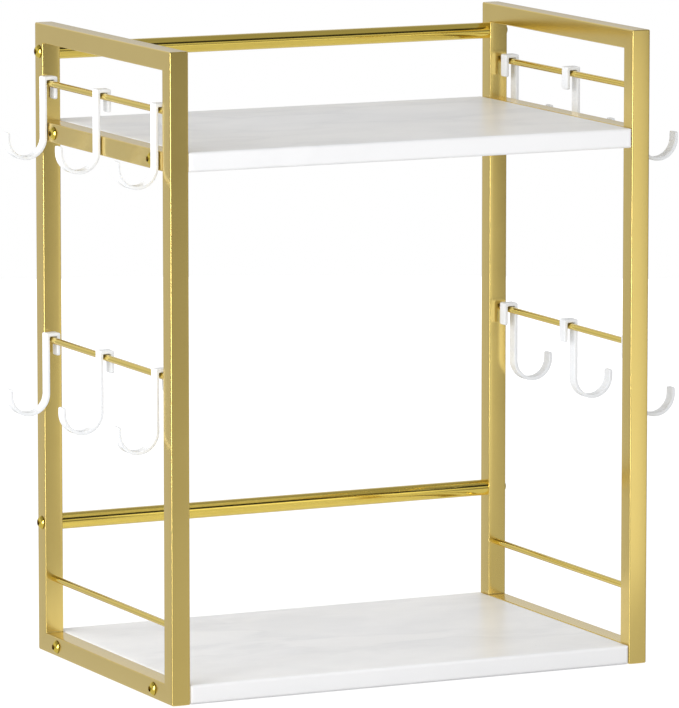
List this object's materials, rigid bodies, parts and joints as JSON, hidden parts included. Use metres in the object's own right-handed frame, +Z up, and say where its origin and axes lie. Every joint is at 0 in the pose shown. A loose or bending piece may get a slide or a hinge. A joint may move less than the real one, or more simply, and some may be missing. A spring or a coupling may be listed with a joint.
{
  "type": "coffee station organizer",
  "caption": "Countertop coffee station organizer: satin gold square-tube side frames carry pale marble-look shelves, with white strip hooks that slide on rods at both sides.",
  "frame": {"origin": "centre of the footprint at the level that the stand rests on", "axes": "+X to the right seen from the front, +Y to the rear, +Z up"},
  "size_m": [0.4684, 0.255, 0.49],
  "materials": {
    "satin_gold_steel": "satin champagne-gold lacquer over welded steel tube and rod",
    "marble_look_board": "fibreboard faced with a smooth pale grey marble-look film, near-white edges",
    "bright_gold_bolt": "polished gold-plated steel bolts",
    "zinc_steel": "zinc-plated steel",
    "white_coated_steel": "glossy white coated steel strip"
  },
  "bodies": {
    "stand": {"left_rear_post": "satin_gold_steel", "left_front_post": "satin_gold_steel", "left_top_bar": "satin_gold_steel", "left_shelf_bar": "satin_gold_steel", "left_bottom_bar": "satin_gold_steel", "left_upper_hook_rod": "satin_gold_steel", "left_lower_hook_rod": "satin_gold_steel", "left_guard_rod": "satin_gold_steel", "right_rear_post": "satin_gold_steel", "right_front_post": "satin_gold_steel", "right_top_bar": "satin_gold_steel", "right_shelf_bar": "satin_gold_steel", "right_bottom_bar": "satin_gold_steel", "right_upper_hook_rod": "satin_gold_steel", "right_lower_hook_rod": "satin_gold_steel", "right_guard_rod": "satin_gold_steel", "upper_shelf": "marble_look_board", "lower_shelf": "marble_look_board", "upper_back_rail": "satin_gold_steel", "lower_back_rail": "satin_gold_steel", "upper_shelf_bolts": "bright_gold_bolt", "lower_shelf_bolts": "bright_gold_bolt", "back_rail_bolts": "bright_gold_bolt", "upper_shelf_inserts": "zinc_steel", "lower_shelf_inserts": "zinc_steel", "back_rail_plugs": "zinc_steel"},
    "left_upper_rear_hook": {"left_upper_rear_hook": "white_coated_steel"},
    "left_upper_middle_hook": {"left_upper_middle_hook": "white_coated_steel"},
    "left_upper_front_hook": {"left_upper_front_hook": "white_coated_steel"},
    "left_lower_rear_hook": {"left_lower_rear_hook": "white_coated_steel"},
    "left_lower_middle_hook": {"left_lower_middle_hook": "white_coated_steel"},
    "left_lower_front_hook": {"left_lower_front_hook": "white_coated_steel"},
    "right_upper_rear_hook": {"right_upper_rear_hook": "white_coated_steel"},
    "right_upper_middle_hook": {"right_upper_middle_hook": "white_coated_steel"},
    "right_upper_front_hook": {"right_upper_front_hook": "white_coated_steel"},
    "right_lower_rear_hook": {"right_lower_rear_hook": "white_coated_steel"},
    "right_lower_middle_hook": {"right_lower_middle_hook": "white_coated_steel"},
    "right_lower_front_hook": {"right_lower_front_hook": "white_coated_steel"}
  },
  "joints": [
    {"name": "left_upper_rear_hook_slide", "type": "slide", "parent": "stand", "child": "left_upper_rear_hook", "axis": [0, 1, 0], "range_m": [-0.00465, 0.0005]},
    {"name": "left_upper_middle_hook_slide", "type": "slide", "parent": "stand", "child": "left_upper_middle_hook", "axis": [0, 1, 0], "range_m": [-0.0863, 0.0771]},
    {"name": "left_upper_front_hook_slide", "type": "slide", "parent": "stand", "child": "left_upper_front_hook", "axis": [0, 1, 0], "range_m": [-0.00445, 0.0007]},
    {"name": "left_lower_rear_hook_slide", "type": "slide", "parent": "stand", "child": "left_lower_rear_hook", "axis": [0, 1, 0], "range_m": [-0.04773, 0.0032]},
    {"name": "left_lower_middle_hook_slide", "type": "slide", "parent": "stand", "child": "left_lower_middle_hook", "axis": [0, 1, 0], "range_m": [-0.04793, 0.04552]},
    {"name": "left_lower_front_hook_slide", "type": "slide", "parent": "stand", "child": "left_lower_front_hook", "axis": [0, 1, 0], "range_m": [-0.0048, 0.04613]},
    {"name": "right_upper_rear_hook_slide", "type": "slide", "parent": "stand", "child": "right_upper_rear_hook", "axis": [0, 1, 0], "range_m": [-0.0007, 0.00445]},
    {"name": "right_upper_middle_hook_slide", "type": "slide", "parent": "stand", "child": "right_upper_middle_hook", "axis": [0, 1, 0], "range_m": [-0.0799, 0.0835]},
    {"name": "right_upper_front_hook_slide", "type": "slide", "parent": "stand", "child": "right_upper_front_hook", "axis": [0, 1, 0], "range_m": [-0.0024, 0.00275]},
    {"name": "right_lower_rear_hook_slide", "type": "slide", "parent": "stand", "child": "right_lower_rear_hook", "axis": [0, 1, 0], "range_m": [-0.04673, 0.0042]},
    {"name": "right_lower_middle_hook_slide", "type": "slide", "parent": "stand", "child": "right_lower_middle_hook", "axis": [0, 1, 0], "range_m": [-0.04673, 0.04673]},
    {"name": "right_lower_front_hook_slide", "type": "slide", "parent": "stand", "child": "right_lower_front_hook", "axis": [0, 1, 0], "range_m": [-0.0042, 0.04673]}
  ]
}
